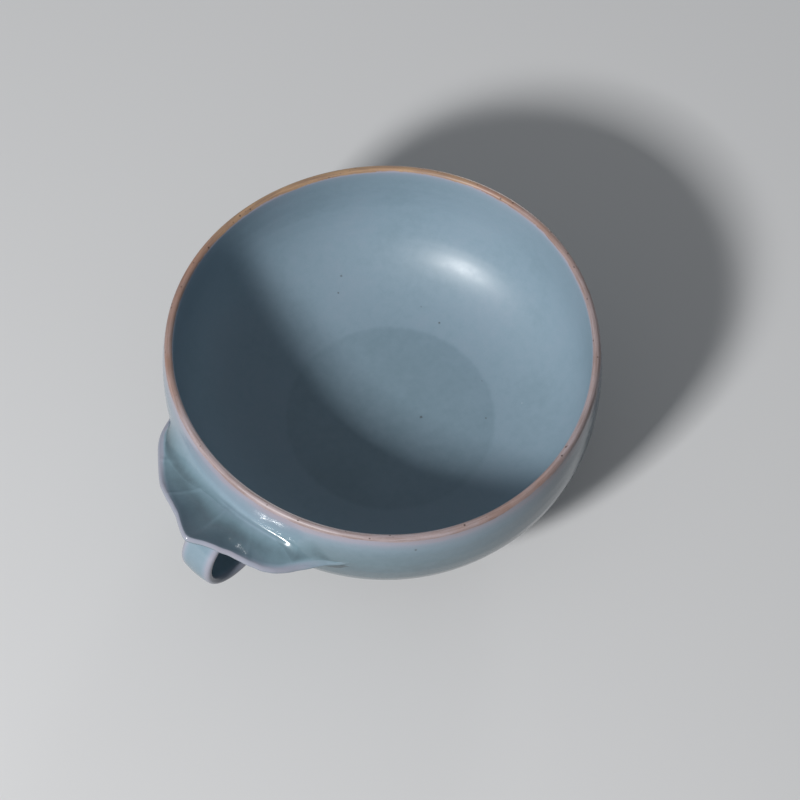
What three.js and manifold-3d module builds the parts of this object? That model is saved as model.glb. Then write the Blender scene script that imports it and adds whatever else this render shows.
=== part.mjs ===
// Celadon handled cup: a thrown stoneware bowl on a turned foot. A press-moulded thumb plate and
// a strap finger ring are luted to its outer wall with beads of clay slip.
// Millimetres, +Z up, handle along +X. The origin lies on the table, under the middle of the
// whole outline, so the bowl's axis stands a little behind it.

import * as THREE from 'three';
import { mergeVertices } from 'three/addons/utils/BufferGeometryUtils.js';
import Module from 'manifold-3d';

const wasm = await Module();
wasm.setup();

// Bowl: heights are above the table, drops are below the crest of the lip
const CUP_HEIGHT = 41.5;
const LIP_RADIUS = 48.0;          // axis to the crest of the rounded lip
const LIP_THICKNESS = 1.88;
const BELLY_SWELL = 0.76;         // how far the belly stands out past the lip's outer edge
const BELLY_DROP = 9.0;
const WALL_THICKNESS = 2.4;       // at the belly
const OUTER_CURVE_CENTRE = 20.0;  // radius at which the outer wall would lie level
const INNER_CURVE_CENTRE = 12.0;  // the same for the inner wall
const WALL_FULLNESS = 2.4;        // power of both wall curves: 2 is an ellipse, more is fuller
const INNER_CURVE_LOW = 7.6;      // height at which the inner wall would lie level
const WELL_RADIUS = 24.4;         // flatter disc in the floor, with a faint edge
const WELL_DISH = 0.4;            // how much lower the middle of the disc lies than its edge
const WELL_SHIFT = new THREE.Vector2(-1.2, 1.4);  // the disc was trimmed a little off the axis

// Turned foot
const FOOT_HEIGHT = 4.5;
const FOOT_RADIUS = 25.2;         // where the foot meets the body
const FOOT_TAPER = 0.7;           // outer and inner sides draw in by this much going down
const FOOT_WIDTH = 3.6;           // across the ring, at the top
const FOOT_RECESS = 4.0;          // depth of the hollow inside the foot
const FOOT_CHAMFER = 0.5;

// The kiln left the round wall very slightly three-sided, most at the lip
const WARP_LOBES = 3;
const WARP_HEIGHT = 0.4;
const WARP_AZIMUTH = 63;          // degrees from the handle

// Luting: a bead of slip between each added piece and the wall, with a fine gap on each side
const FIT_GAP = 0.3;
const SLIP_THICKNESS = 1.0;
const SLIP_SPREAD = 0.9;          // how far a bead runs out past the piece that it holds
const SLIP_LOWER_SPREAD = 0.4;    // the same under the thumb plate

// Thumb plate
const PLATE_TIP_REACH = 14.3;     // middle of the outer edge, past the belly
const PLATE_TIP_DROP = 3.0;       // the same point, below the lip's crest
const PLATE_END_DROP = 13.1;      // the edge's lower end, below the lip's crest

// Points of the outer edge, from one end to the other: azimuth in degrees from the handle,
// reach as a share of the tip's, and how far down between the tip and the lower end
const PLATE_EDGE = [
  [-32.0, 0.133, 1.0],
  [-28.0, 0.287, 0.95],
  [-22.0, 0.427, 0.822],
  [-16.0, 0.608, 0.634],
  [-9.0, 0.727, 0.327],
  [-4.0, 0.874, 0.109],
  [0.0, 1.0, 0.0],
  [4.0, 0.853, 0.109],
  [8.0, 0.727, 0.277],
  [14.5, 0.601, 0.574],
  [19.5, 0.427, 0.752],
  [25.5, 0.133, 0.901],
];
const PLATE_ROOT_DROP = 7.7;      // top of the plate at the wall, in line with the handle
const PLATE_ROOT_FALL = 4.6;      // how much lower the root lies at its ends, where it bends down
const PLATE_ROOT_SPAN = 32;       // degrees from the handle to an end
const PLATE_THICKNESS = 2.2;
const PLATE_EDGE_THICKNESS = 1.6;
const PLATE_DISH = 1.5;           // hollow across the plate, from wall to edge, where it is widest
const PLATE_DISH_SPAN = 12.5;     // width of the plate, wall to edge, that has the full hollow
const PLATE_NOSE = 0.35;          // how far the edge is rounded out, as a share of its thickness
const PLATE_RIBS = [-19.6, -11, 0, 11, 19.6];   // azimuths of the fine radial ridges
const PLATE_POOL_DEPTH = 0.5;     // hollow between two ridges

// Finger ring: a strap bent to a circle, from the plate's underside round to the wall
const RING_BORE = 9.5;            // inner radius of the finger hole
const RING_THICKNESS = 1.9;
const RING_WIDTH = 8.6;
const RING_CROWN = 0.3;           // rise of the outer face across the strap
const RING_EDGE = 0.8;            // rounding of the strap's long edges
const RING_STAND_OFF = 2.54;      // centre of the circle, out from the wall at that height
const RING_DROP = 19.6;           // centre of the circle, below the lip's crest

// Fineness of the faceted surfaces
const BOWL_SIDES = 72;
const WALL_STEPS = 11;            // belly to foot, and belly to well
const OUTER_NECK_STEPS = 5;       // belly to lip, outside
const INNER_NECK_STEPS = 4;       // belly to lip, inside
const LIP_STEPS = 6;
const WELL_STEPS = 4;
const PLATE_STATIONS = 46;
const PLATE_STEPS = 8;
const RING_SIDES = 44;

const radians = THREE.MathUtils.degToRad;
const { lerp, clamp } = THREE.MathUtils;

// Heights and radii that follow from the sizes above
const BELLY_HEIGHT = CUP_HEIGHT - BELLY_DROP;
const LIP_HALF = LIP_THICKNESS / 2;
const LIP_EDGE_HEIGHT = CUP_HEIGHT - LIP_HALF;
const BELLY_RADIUS = LIP_RADIUS + LIP_HALF + BELLY_SWELL;
const INNER_BELLY_RADIUS = BELLY_RADIUS - WALL_THICKNESS;
const SEAM_OUTER = FIT_GAP + SLIP_THICKNESS;
const PIECE_STAND = SEAM_OUTER + FIT_GAP;
const EDGE_ROUND = PLATE_EDGE_THICKNESS * PLATE_NOSE;

// One quarter of a superellipse, from level at the belly down to a given radius
function wallCurve(centre, bellyRadius, low, endRadius) {
  const across = bellyRadius - centre;
  const down = BELLY_HEIGHT - low;
  const endTurn = Math.acos(((endRadius - centre) / across) ** (WALL_FULLNESS / 2));
  const points = [];
  for (let i = 0; i <= WALL_STEPS; i += 1) {
    const turn = endTurn * (i / WALL_STEPS);
    points.push(new THREE.Vector2(
      centre + across * Math.cos(turn) ** (2 / WALL_FULLNESS),
      BELLY_HEIGHT - down * Math.sin(turn) ** (2 / WALL_FULLNESS),
    ));
  }
  return points;
}

// Outer radius of the wall at a height, without the warp
function outerRadius(height) {
  if (height >= BELLY_HEIGHT) {
    const share = (height - BELLY_HEIGHT) / (LIP_EDGE_HEIGHT - BELLY_HEIGHT);
    return BELLY_RADIUS - BELLY_SWELL * Math.min(share, 1) ** 2;
  }
  const across = BELLY_RADIUS - OUTER_CURVE_CENTRE;
  const drop = Math.min((BELLY_HEIGHT - height) / (BELLY_HEIGHT - FOOT_HEIGHT), 1);
  return OUTER_CURVE_CENTRE + across * (1 - drop ** WALL_FULLNESS) ** (1 / WALL_FULLNESS);
}

function warp(azimuth, height) {
  const share = clamp((height - FOOT_HEIGHT) / (CUP_HEIGHT - FOOT_HEIGHT), 0, 1);
  return WARP_HEIGHT * share * Math.cos(WARP_LOBES * (azimuth - radians(WARP_AZIMUTH)));
}

// Outer profile of the wall from the foot up to the lip's edge, moved outwards by a gap
function outerProfile(gap) {
  const points = wallCurve(OUTER_CURVE_CENTRE, BELLY_RADIUS, FOOT_HEIGHT, FOOT_RADIUS).reverse();
  for (let i = 1; i <= OUTER_NECK_STEPS; i += 1) {
    const height = lerp(BELLY_HEIGHT, LIP_EDGE_HEIGHT, i / OUTER_NECK_STEPS);
    points.push(new THREE.Vector2(outerRadius(height), height));
  }
  return points.map((point, i) => {
    const before = points[Math.max(i - 1, 0)];
    const after = points[Math.min(i + 1, points.length - 1)];
    const along = after.clone().sub(before).normalize();
    return new THREE.Vector2(point.x + gap * along.y, point.y - gap * along.x);
  });
}

// Inner profile from the lip's edge down to the edge of the well and on to the axis
function innerProfile() {
  const points = [];
  const lipInside = LIP_RADIUS - LIP_HALF;
  for (let i = 0; i < INNER_NECK_STEPS; i += 1) {
    const share = i / INNER_NECK_STEPS;
    const radius = lerp(lipInside, INNER_BELLY_RADIUS, 1 - (1 - share) ** 2);
    points.push(new THREE.Vector2(radius, lerp(LIP_EDGE_HEIGHT, BELLY_HEIGHT, share)));
  }
  points.push(...wallCurve(INNER_CURVE_CENTRE, INNER_BELLY_RADIUS, INNER_CURVE_LOW, WELL_RADIUS));
  const wellEdge = points[points.length - 1];
  for (let i = 1; i <= WELL_STEPS; i += 1) {
    const share = 1 - i / WELL_STEPS;
    points.push(new THREE.Vector2(
      WELL_RADIUS * share,
      wellEdge.y - WELL_DISH * (1 - share ** 2),
    ));
  }
  return points;
}

// Rounded crest of the lip, between the outer and the inner profile
function lipArc() {
  const points = [];
  for (let i = 1; i < LIP_STEPS; i += 1) {
    const turn = Math.PI * (i / LIP_STEPS);
    points.push(new THREE.Vector2(
      LIP_RADIUS + LIP_HALF * Math.cos(turn),
      LIP_EDGE_HEIGHT + LIP_HALF * Math.sin(turn),
    ));
  }
  return points;
}

// Underside: the recess, the foot's inner side, its flat ring and its outer side
function footProfile() {
  const innerTop = FOOT_RADIUS - FOOT_WIDTH;
  const innerLow = innerTop + FOOT_TAPER;
  const outerLow = FOOT_RADIUS - FOOT_TAPER;
  return [
    new THREE.Vector2(0, FOOT_RECESS),
    new THREE.Vector2(innerTop / 2, FOOT_RECESS),
    new THREE.Vector2(innerTop, FOOT_RECESS),
    new THREE.Vector2(innerLow - FOOT_CHAMFER / 2, FOOT_CHAMFER),
    new THREE.Vector2(innerLow, 0),
    new THREE.Vector2(outerLow - FOOT_CHAMFER, 0),
    new THREE.Vector2(outerLow, FOOT_CHAMFER),
  ];
}

// Turns a profile of (radius, height) points about Z and gives it the kiln's warp.
// The profile runs with the solid on its left, from axis to axis.
function turned(profile) {
  const lathe = new THREE.LatheGeometry(profile, BOWL_SIDES);
  lathe.rotateX(Math.PI / 2);
  const place = lathe.attributes.position;
  for (let i = 0; i < place.count; i += 1) {
    const [x, y, z] = [place.getX(i), place.getY(i), place.getZ(i)];
    const radius = Math.hypot(x, y);
    if (radius > 0) {
      const grow = 1 + warp(Math.atan2(y, x), z) / LIP_RADIUS;
      place.setXY(i, x * grow, y * grow);
    }
  }
  return joined(lathe);
}

// Merges the doubled vertices along seams and poles, so that the surface is one closed body
function joined(geometry) {
  geometry.deleteAttribute('normal');
  geometry.deleteAttribute('uv');
  const merged = mergeVertices(geometry, 1e-4);
  const kept = [];
  const { array } = merged.index;
  for (let i = 0; i < array.length; i += 3) {
    const [a, b, c] = [array[i], array[i + 1], array[i + 2]];
    if (a !== b && b !== c && c !== a) {
      kept.push(a, b, c);
    }
  }
  merged.setIndex(kept);
  return merged;
}

function solidOf(geometry) {
  const mesh = new wasm.Mesh({
    numProp: 3,
    vertProperties: new Float32Array(geometry.attributes.position.array),
    triVerts: new Uint32Array(geometry.index.array),
  });
  return new wasm.Manifold(mesh);
}

function geometryOf(solid) {
  const { vertProperties, triVerts } = solid.getMesh();
  const geometry = new THREE.BufferGeometry();
  geometry.setAttribute('position', new THREE.BufferAttribute(new Float32Array(vertProperties), 3));
  geometry.setIndex(new THREE.BufferAttribute(new Uint32Array(triVerts), 1));
  geometry.computeVertexNormals();
  return geometry;
}

// A closed skin over a row of closed outlines that have the same number of points
function lofted(outlines) {
  const across = outlines[0].length;
  const positions = outlines.flat().flatMap((point) => [point.x, point.y, point.z]);
  const index = [];
  for (let i = 0; i + 1 < outlines.length; i += 1) {
    for (let j = 0; j < across; j += 1) {
      const next = (j + 1) % across;
      const [a, b] = [i * across + j, i * across + next];
      const [c, d] = [a + across, b + across];
      index.push(a, b, c, b, d, c);
    }
  }
  const last = (outlines.length - 1) * across;
  const half = across / 2;
  for (let j = 0; j < half - 1; j += 1) {
    const [p, q] = [across - 1 - j, across - 2 - j];
    index.push(j, p, j + 1, j + 1, p, q);
    index.push(last + j, last + j + 1, last + p, last + j + 1, last + q, last + p);
  }
  const geometry = new THREE.BufferGeometry();
  geometry.setAttribute('position', new THREE.Float32BufferAttribute(positions, 3));
  geometry.setIndex(index);
  return geometry;
}

function bowlGeometry() {
  return turned([
    ...footProfile(),
    ...outerProfile(0),
    ...lipArc(),
    ...innerProfile(),
  ]);
}

// The bowl as a full plug, grown by a gap: what is cut with it clears the outer wall by that gap
function bowlPlug(gap) {
  const wall = outerProfile(gap);
  const low = wall[0].y;
  const high = CUP_HEIGHT + gap;
  return solidOf(turned([
    new THREE.Vector2(0, low),
    ...wall,
    new THREE.Vector2(wall[wall.length - 1].x, high),
    new THREE.Vector2(0, high),
  ]));
}

// The off-axis well: everything inside the cup slides over, most at the floor
function shiftWell(geometry) {
  const place = geometry.attributes.position;
  const innerFloor = FOOT_RECESS + (INNER_CURVE_LOW - FOOT_RECESS) / 2;
  for (let i = 0; i < place.count; i += 1) {
    const height = place.getZ(i);
    const radius = Math.hypot(place.getX(i), place.getY(i));
    const inside = radius < outerRadius(height) - WALL_THICKNESS / 4;
    if (height > innerFloor && inside) {
      const share = clamp((BELLY_HEIGHT - height) / (BELLY_HEIGHT - INNER_CURVE_LOW), 0, 1);
      place.setX(i, place.getX(i) + WELL_SHIFT.x * share);
      place.setY(i, place.getY(i) + WELL_SHIFT.y * share);
    }
  }
  return geometry;
}

// Thumb plate, worked out in sections that stand radially on the wall

// The outer edge as (azimuth, reach past the belly, drop below the lip's crest)
const plateEdgeCurve = new THREE.CatmullRomCurve3(
  PLATE_EDGE.map(([azimuth, reach, fall]) => new THREE.Vector3(
    azimuth,
    PLATE_TIP_REACH * reach,
    lerp(PLATE_TIP_DROP, PLATE_END_DROP, fall),
  )),
  false,
  'centripetal',
);

function rootHeight(azimuth) {
  return CUP_HEIGHT - PLATE_ROOT_DROP - PLATE_ROOT_FALL * (azimuth / PLATE_ROOT_SPAN) ** 4;
}

function wallAt(azimuth, height, stand) {
  return outerRadius(height) + warp(radians(azimuth), height) + stand;
}

// 0 on a ridge, 1 midway between two ridges, and 0 past the outermost ones
function poolShape(azimuth) {
  for (let i = 0; i + 1 < PLATE_RIBS.length; i += 1) {
    const [from, to] = [PLATE_RIBS[i], PLATE_RIBS[i + 1]];
    if (azimuth >= from && azimuth <= to) {
      return Math.sin(Math.PI * (azimuth - from) / (to - from)) ** 2;
    }
  }
  return 0;
}

// The plate's section at one point of its edge, as rows of [radius, height] from wall to edge
function plateRows(edge) {
  const azimuth = edge.x;
  const rootZ = rootHeight(azimuth);
  const rootR = wallAt(azimuth, rootZ, PIECE_STAND);
  const edgeR = BELLY_RADIUS + edge.y;
  const edgeZ = CUP_HEIGHT - edge.z;
  const pool = PLATE_POOL_DEPTH * poolShape(azimuth);
  const width = clamp((edgeR - rootR) / PLATE_DISH_SPAN, 0, 1);
  const top = [];
  const below = [];
  for (let i = 0; i <= PLATE_STEPS; i += 1) {
    const share = i / PLATE_STEPS;
    const hollow = Math.sin(Math.PI * share);
    const sagged = lerp(rootZ, edgeZ, share) - PLATE_DISH * width * hollow;
    const radius = lerp(rootR, edgeR, share);
    top.push([radius, sagged - pool * hollow]);
    below.push([radius, sagged - lerp(PLATE_THICKNESS, PLATE_EDGE_THICKNESS, share)]);
  }
  below[0][0] = wallAt(azimuth, below[0][1], PIECE_STAND);
  return { top, below };
}

function plateStations(outlineAt) {
  const sections = [];
  for (let i = 0; i <= PLATE_STATIONS; i += 1) {
    const edge = plateEdgeCurve.getPoint(i / PLATE_STATIONS);
    const angle = radians(edge.x);
    sections.push(outlineAt(edge).map(([radius, height]) => new THREE.Vector3(
      radius * Math.cos(angle),
      radius * Math.sin(angle),
      height,
    )));
  }
  return lofted(sections);
}

function plateGeometry() {
  return plateStations((edge) => {
    const { top, below } = plateRows(edge);
    const [upper, lower] = [top[PLATE_STEPS], below[PLATE_STEPS]];
    const noseRadius = upper[0] + EDGE_ROUND;
    const nose = [1 / 3, 2 / 3].map((share) => [noseRadius, lerp(upper[1], lower[1], share)]);
    return [...top, ...nose, ...below.reverse()];
  });
}

// Everything between the plate's underside, lowered by a gap, and a level well above it, with
// the root carried on into the wall: what is cut with it stops short of the plate by that gap
function underPlateCutter(gap) {
  return solidOf(plateStations((edge) => {
    const { below } = plateRows(edge);
    const inward = below[0][0] - PIECE_STAND - WALL_THICKNESS;
    const outward = below[PLATE_STEPS][0] + PLATE_EDGE_THICKNESS;
    const lowered = [[inward, below[0][1]], ...below, [outward, below[PLATE_STEPS][1]]]
      .map(([radius, height]) => [radius, height - gap]);
    const roof = lowered.map(([radius]) => [radius, CUP_HEIGHT]);
    return [...roof, ...lowered.reverse()];
  }));
}

// Bead of slip along the plate's root, thick behind the plate and thin at its own borders
function plateSeamGeometry() {
  return plateStations((edge) => {
    const azimuth = edge.x;
    const high = rootHeight(azimuth);
    const low = high - PLATE_THICKNESS;
    const corners = [
      [high + SLIP_SPREAD, FIT_GAP],
      [high, SEAM_OUTER],
      [low, SEAM_OUTER],
      [low - SLIP_LOWER_SPREAD, FIT_GAP],
    ];
    return corners.map(([height, stand]) => [wallAt(azimuth, height, stand), height]);
  });
}

// Finger ring

const RING_HEIGHT = CUP_HEIGHT - RING_DROP;
const RING_CENTRE = outerRadius(RING_HEIGHT) + RING_STAND_OFF;

// How deep a rounded corner's middle point lies, as a share of its radius
const CORNER_CUT = 1 - Math.SQRT1_2;

// Section of the strap as (distance from the finger hole's axis, place along that axis),
// grown by a spread on every side
function strapOutline(spread) {
  const half = RING_WIDTH / 2 + spread;
  const inner = RING_BORE - spread;
  const outer = RING_BORE + RING_THICKNESS + spread;
  const edge = RING_EDGE;
  const cut = edge * CORNER_CUT;
  const shoulder = outer - RING_CROWN;
  const outline = [
    [inner, half - edge],
    [inner, edge - half],
    [inner + cut, cut - half],
    [inner + edge, -half],
    [shoulder - edge, -half],
    [shoulder - cut, cut - half],
    [shoulder, edge - half],
    [outer, 0],
    [shoulder, half - edge],
    [shoulder - cut, half - cut],
    [shoulder - edge, half],
    [inner + edge, half],
    [inner + cut, half - cut],
    [inner, half - edge],
  ];
  return outline.map(([radius, along]) => new THREE.Vector2(radius, along));
}

// The whole circle of the strap, with its axis along Y
function strapCircle(spread) {
  const circle = new THREE.LatheGeometry(strapOutline(spread), RING_SIDES);
  circle.translate(RING_CENTRE, 0, RING_HEIGHT);
  return solidOf(joined(circle));
}

// Everything above or below the level of the finger hole's axis
function halfSpace(side) {
  const size = 4 * BELLY_RADIUS;
  const box = new THREE.BoxGeometry(size, size, size);
  box.translate(0, 0, RING_HEIGHT + side * size / 2);
  return solidOf(joined(box));
}

const pieceClear = bowlPlug(PIECE_STAND);
const wallSlip = bowlPlug(SEAM_OUTER).subtract(bowlPlug(FIT_GAP));
const plateSlip = underPlateCutter(SEAM_OUTER).subtract(underPlateCutter(FIT_GAP));

const ringSolid = strapCircle(0).subtract(pieceClear).subtract(underPlateCutter(PIECE_STAND));
const slipped = strapCircle(SLIP_SPREAD);
const upperSeam = slipped.intersect(plateSlip).intersect(halfSpace(1)).subtract(pieceClear);
const lowerSeam = slipped.intersect(wallSlip).intersect(halfSpace(-1));

// Colours: pale blue-grey glaze, a little lighter on the thin edges, and the slip's body colour
const glaze = new THREE.MeshStandardMaterial({ color: 0xa6bac2, roughness: 0.28, metalness: 0 });
const plateGlaze = new THREE.MeshStandardMaterial({ color: 0x9fb4ba, roughness: 0.28, metalness: 0 });
const ringGlaze = new THREE.MeshStandardMaterial({ color: 0xb2c3ca, roughness: 0.28, metalness: 0 });
const slipGlaze = new THREE.MeshStandardMaterial({ color: 0xc3cbd0, roughness: 0.34, metalness: 0 });

function piece(name, geometry, material) {
  const mesh = new THREE.Mesh(geometry, material);
  mesh.name = name;
  return mesh;
}

const FRONT_REACH = BELLY_RADIUS + PLATE_TIP_REACH + EDGE_ROUND;
const REAR_REACH = BELLY_RADIUS + warp(Math.PI, BELLY_HEIGHT);

const cup = new THREE.Group();
cup.add(
  piece('bowl', shiftWell(bowlGeometry()), glaze),
  piece('thumb_plate', plateGeometry(), plateGlaze),
  piece('plate_slip_seam', plateSeamGeometry(), slipGlaze),
  piece('finger_ring', geometryOf(ringSolid), ringGlaze),
  piece('ring_upper_slip_seam', geometryOf(upperSeam), slipGlaze),
  piece('ring_lower_slip_seam', geometryOf(lowerSeam), slipGlaze),
);
cup.position.x = (REAR_REACH - FRONT_REACH) / 2;

const part = new THREE.Group();
part.add(cup);

export default part;
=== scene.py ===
"""Looks of the celadon handled cup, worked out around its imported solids.

Lengths in the shape functions are millimetres, measured from the bowl's own axis and up from
the table, with the handle along +X. Meshes are written in metres, in the frame of the solids.
"""

import math

import bpy
import numpy as np
from mathutils import Matrix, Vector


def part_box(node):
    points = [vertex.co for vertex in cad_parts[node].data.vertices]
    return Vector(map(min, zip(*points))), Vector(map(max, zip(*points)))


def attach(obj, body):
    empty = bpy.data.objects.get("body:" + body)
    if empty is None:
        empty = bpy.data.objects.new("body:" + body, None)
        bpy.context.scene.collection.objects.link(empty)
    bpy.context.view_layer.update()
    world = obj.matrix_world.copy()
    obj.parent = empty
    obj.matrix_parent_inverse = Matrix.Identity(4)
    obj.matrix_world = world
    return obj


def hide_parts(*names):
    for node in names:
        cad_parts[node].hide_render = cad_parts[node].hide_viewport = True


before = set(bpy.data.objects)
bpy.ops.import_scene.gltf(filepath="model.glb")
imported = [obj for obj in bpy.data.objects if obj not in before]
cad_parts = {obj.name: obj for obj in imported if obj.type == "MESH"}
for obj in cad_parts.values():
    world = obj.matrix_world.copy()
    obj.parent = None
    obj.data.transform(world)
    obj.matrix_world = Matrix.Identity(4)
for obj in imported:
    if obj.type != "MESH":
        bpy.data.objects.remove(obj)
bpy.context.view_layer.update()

# Bowl
CUP_HEIGHT = 41.5
LIP_RADIUS = 48.0
LIP_HALF = 0.94
LIP_CROWN = 1.06  # the lip's rise over its half width
BELLY_RADIUS = 49.7
BELLY_HEIGHT = 32.5
WALL_THICKNESS = 2.4
WALL_FULLNESS = 2.4  # power of the superellipse
OUTER_CURVE_CENTRE = 20.0
INNER_CURVE_CENTRE = 12.0
INNER_CURVE_LOW = 7.6
WELL_RADIUS = 24.4
WELL_DISH = 0.4
WELL_SHIFT = (-1.2, 1.4)
FOOT_HEIGHT = 4.5
FOOT_RADIUS = 25.2
FOOT_TAPER = 0.7
FOOT_WIDTH = 3.6
FOOT_RECESS = 4.0
PROFILE_STEP = 0.05
PROFILE_SOFTENING = 5.5  # in steps
BOWL_SIDES = 288
BOWL_STEPS = 300
BEND_PULL = 1.6  # points lie closer where the outline bends
BEND_SOFTENING = 8  # in steps

# The wall left the kiln very slightly three-sided, most at the lip
WARP_HEIGHT = 0.4
WARP_AZIMUTH = 63.0

# Rings from the wheel: depth, radians for each mm of height, sway round the wall and its start
THROWING_RINGS = ((0.012, 1.45, 0.9, 0.6), (0.006, 3.1, 1.1, 0.0))
SLOW_WAVE = 0.05

# Where glaze ends, in mm past the lip's crest or above the table, and how that line wanders:
# depth, waves in a turn, start
BARE_OUTSIDE = (-1.62, -1.15)
BARE_INSIDE = (1.4, 0.75)
BARE_FOOT = (1.35, 0.95)
BARE_WANDER = ((0.13, 7, 0.5), (0.08, 17, 0), (0.05, 31, 2))

# How thin the glaze lies outside: by azimuth, and in the band under the lip; the darker values to
# the near side of the plate are painted shade, where the wall turns from the lamp
OUTER_GLAZE_PLACES = (-180.0, -70.0, -40.0, 8.0, 26.0, 50.0, 90.0, 180.0)
OUTER_THIN_AND_SHADE = (0.04, 0.04, 0.12, 0.1, -0.32, -0.26, -0.04, 0.04)
LIP_BAND_START = 1.7  # below the lip's top
LIP_BAND_FADE = 1.8
# painted shade, darker on the lower wall
LOW_WALL_SHADE = 0.3

# How far the lip's bare clay flashed orange, by azimuth
FLASH_PLACES = (
    0.0, 45.0, 75.0, 110.0, 140.0, 165.0, 195.0, 225.0, 258.0, 285.0, 308.0, 330.0, 348.0, 360.0)
FLASH_VALUES = (0.0, 0.0, 0.35, 0.1, 0.08, 0.3, 0.6, 0.95, 0.95, 0.55, 0.5, 0.3, 0.04, 0.0)

# Thumb plate: outer edge as azimuth in degrees, radius from the axis, drop below the lip
PLATE_EDGE = np.array([
    (-37.0, 48.2, 13.6), (-35.0, 49.3, 13.4), (-33.0, 50.7, 13.2), (-30.0, 52.9, 12.9),
    (-27.0, 54.2, 12.4), (-23.0, 55.5, 11.5), (-20.0, 56.7, 10.8), (-16.0, 58.4, 9.4),
    (-13.3, 59.0, 8.2), (-9.2, 60.0, 6.3), (-5.9, 61.1, 4.8), (-3.7, 62.4, 4.0),
    (-1.8, 63.5, 3.5), (0.0, 64.3, 3.0), (1.4, 63.4, 3.4), (2.8, 62.4, 3.8),
    (4.3, 61.7, 4.2), (5.7, 61.1, 4.7), (8.0, 60.1, 5.8), (10.0, 59.5, 6.7),
    (12.0, 59.1, 7.6), (14.6, 58.4, 8.8), (17.2, 57.3, 9.8), (19.3, 55.9, 10.6),
    (21.6, 54.0, 11.2), (25.5, 51.6, 12.1), (28.0, 50.4, 12.4), (29.5, 49.95, 12.1),
    (31.0, 49.8, 11.6), (32.3, 49.65, 10.9), (34.0, 49.5, 10.4), (36.0, 49.1, 10.2),
])
PLATE_EDGE_SOFTENING = (9, 24)  # near and far side, in 19ths of a degree
PLATE_TIP = 64.56
PLATE_ROOT_DROP = 7.7
PLATE_ROOT_FALL = 4.6
PLATE_ROOT_SPAN = 32.0
PLATE_ROOT_LOWEST = 33.0  # past this azimuth the root falls no further
PLATE_ROOT_POWER = 8
PLATE_ROOT_RISE = 0.2  # of the root over the edge at the two ends
PLATE_ROOT_WIDTHS = (-0.8, 2.8)  # the root comes down between these widths
PLATE_THICKNESS = 2.2
PLATE_EDGE_THICKNESS = 1.6
PLATE_DISH = 1.5
PLATE_DISH_SPAN = 12.5
PLATE_SUNK = 1.4  # the sheet runs on this far into the wall
PLATE_END_CUT = 0.6  # degrees left out at each end of the edge's rows
PLATE_ROWS = 330
PLATE_TOP_STEPS = 96
PLATE_NOSE_STEPS = 18

# Leaf relief: veins fan out from a point on the handle's line, with pools of glaze between
VEIN_FOCUS = 41.0
VEIN_ANGLES = (-65.0, -38.0, 0.0, 36.0)
VEIN_STRENGTHS = (0.6, 0.7, 0.9, 0.3)
VEIN_HEIGHT = 0.12
VEIN_WIDTH = 0.5
LOBE_PLACES = (-92.0, -78.0, -51.0, -19.0, 18.0, 60.0, 84.0)
LOBE_POOLS = (0.3, 0.4, 0.62, 0.7, 0.7, 0.5, 0.3)
POOL_DEPTH = 0.1
EDGE_ROLL_HEIGHT = 0.1
EDGE_ROLL_WIDTH = 1.1
EDGE_THIN = 0.72
EDGE_LUMP = 0.03  # the edge was pinched out by hand
CREASE_RIDGE_HEIGHT = 0.06
CREASE_RIDGE_WIDTH = 0.32
CREASE_RIDGE_THIN = 0.25
CREASE_LINE = ((-10.0, 4.0, 12.0, 20.0), (1.3, 1.25, 1.1, 1.22))
PALE_BAND_PLACES = (-36.0, -20.0, -9.0, 0.0, 8.0, 15.0, 23.0, 30.0)
PALE_BAND_WIDTHS = (1.5, 1.5, 1.1, 0.9, 1.0, 1.4, 1.3, 0.8)

# Slip seam of the plate: reach of its cove by azimuth, and the glaze that runs together in it
COVE_PLACES = (-36.0, -26.0, -14.0, -6.0, 0.0, 8.0, 14.0, 17.0, 19.0, 21.0, 24.0, 28.0, 32.0)
COVE_SIZES = (3.6, 4.2, 3.8, 2.7, 2.2, 1.7, 1.7, 2.2, 3.2, 4.6, 6.2, 5.0, 4.0)
COVE_SHARE = 0.85  # of the plate's width, at most
COVE_POOL_PLACES = (-30.0, -22.0, -6.0, 4.0, 14.0, 26.0)
COVE_POOLS = (0.42, 0.42, 0.3, 0.14, 0.28, 0.25)
UNDER_FILLET = 1.2  # between the plate's underside and the wall
LEAST_REACH = 0.02
SEAM_ENDS = (-36.4, 35.4)
SEAM_ROWS = 300
SKIRT = 0.5  # a fillet runs on this far under its neighbours
SKIRT_DIVE = 0.05
FILLET_CORE = 0.6  # how deep a fillet's outline closes inside them

# Finger ring
RING_BORE = 9.5
RING_THICKNESS = 1.9
RING_WIDTH = 8.6
RING_CROWN = 0.25
RING_STAND_OFF = 2.54
RING_HEIGHT = 21.9
RING_TOP_TURN = 82.0  # degrees from the ring's outermost point
RING_LOW_TURN = -150.0
STRAP_STEPS = 220
STRAP_OUTLINE_POINTS = 96
STRAP_SOFTENING = 5  # in steps of the outline
STRAP_EDGE_THIN = 0.75

# Fillets round the two ends of the strap
COLLAR_FILLET = 1.35
COLLAR_POOL = 0.2
COLLAR_SEARCH_STEPS = 600
COLLAR_BACK_STEPS = 12  # from the meeting place back to where the strap's direction is read
UPPER_COLLAR_START = 20  # turn in degrees from which the meeting place is searched
LOWER_COLLAR_START = -80

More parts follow.
